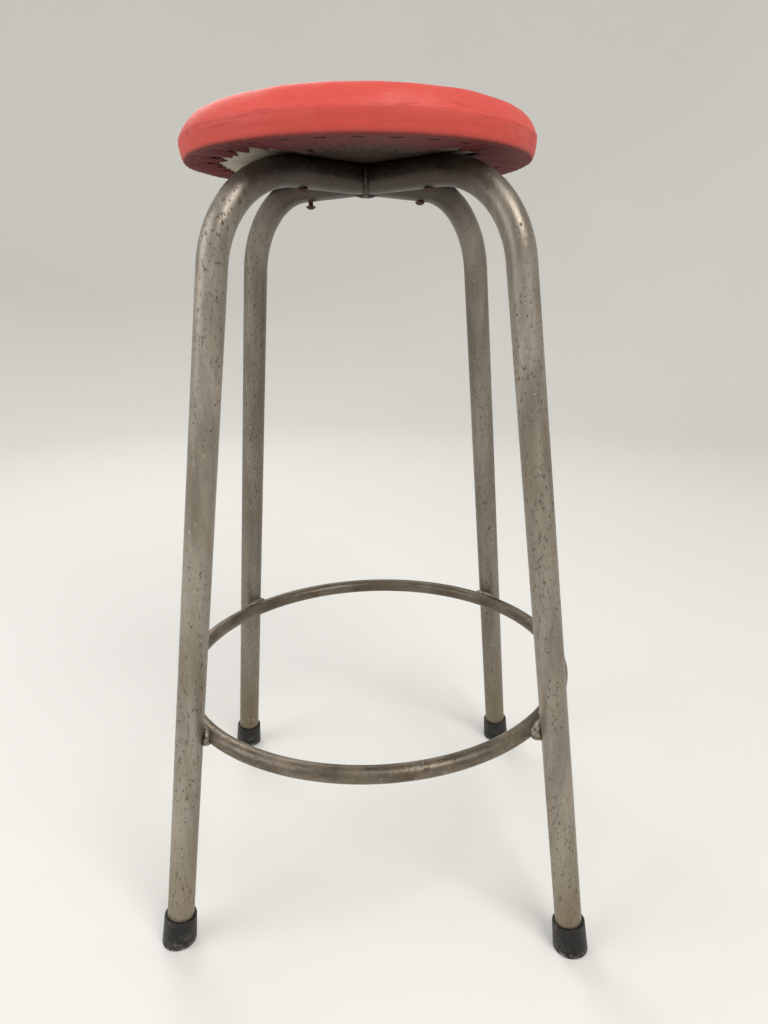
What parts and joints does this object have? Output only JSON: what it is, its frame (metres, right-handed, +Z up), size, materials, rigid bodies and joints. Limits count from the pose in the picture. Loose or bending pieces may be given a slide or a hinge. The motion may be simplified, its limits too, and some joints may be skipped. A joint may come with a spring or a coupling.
{
  "type": "bar stool",
  "caption": "Round padded bar stool on a splayed welded steel tube frame with a circular footrest ring inside the legs and rubber feet.",
  "frame": {"origin": "on the floor, under the point where the four arms cross, which is also the centre of the object's box", "axes": "+Z up, -Y towards the front, +X to the right as seen from the front"},
  "size_m": [0.4211, 0.4177, 0.762],
  "materials": {
    "frame_tube": "aged dull silver, pitted and rust-specked",
    "footrest_tube": "aged dull silver with brighter worn streaks",
    "weld_bead": "lumpy, dull",
    "vinyl": "satin coral red vinyl, creased",
    "foam": "open-cell foam",
    "plywood": "raw, pale",
    "staple_wire": "dull",
    "screw_steel": "rusty",
    "rubber": "matt black, scuffed",
    "washer_steel": "dull"
  },
  "bodies": {
    "root": {"cover_staples": "staple_wire", "foot_washer_front_left": "washer_steel", "foot_washer_front_right": "washer_steel", "foot_washer_rear_left": "washer_steel", "foot_washer_rear_right": "washer_steel", "footrest_ring": "footrest_tube", "hub_weld": "weld_bead", "leg_front_right": "frame_tube", "leg_hoop": "frame_tube", "leg_rear_left": "frame_tube", "ring_weld_front_left": "weld_bead", "ring_weld_front_right": "weld_bead", "ring_weld_rear_left": "weld_bead", "ring_weld_rear_right": "weld_bead", "rubber_foot_front_left": "rubber", "rubber_foot_front_right": "rubber", "rubber_foot_rear_left": "rubber", "rubber_foot_rear_right": "rubber", "seat_board": "plywood", "seat_cover": "vinyl", "seat_foam": "foam", "seat_screw_front_left": "screw_steel", "seat_screw_front_right": "screw_steel", "seat_screw_rear_left": "screw_steel", "seat_screw_rear_right": "screw_steel"}
  },
  "joints": []
}
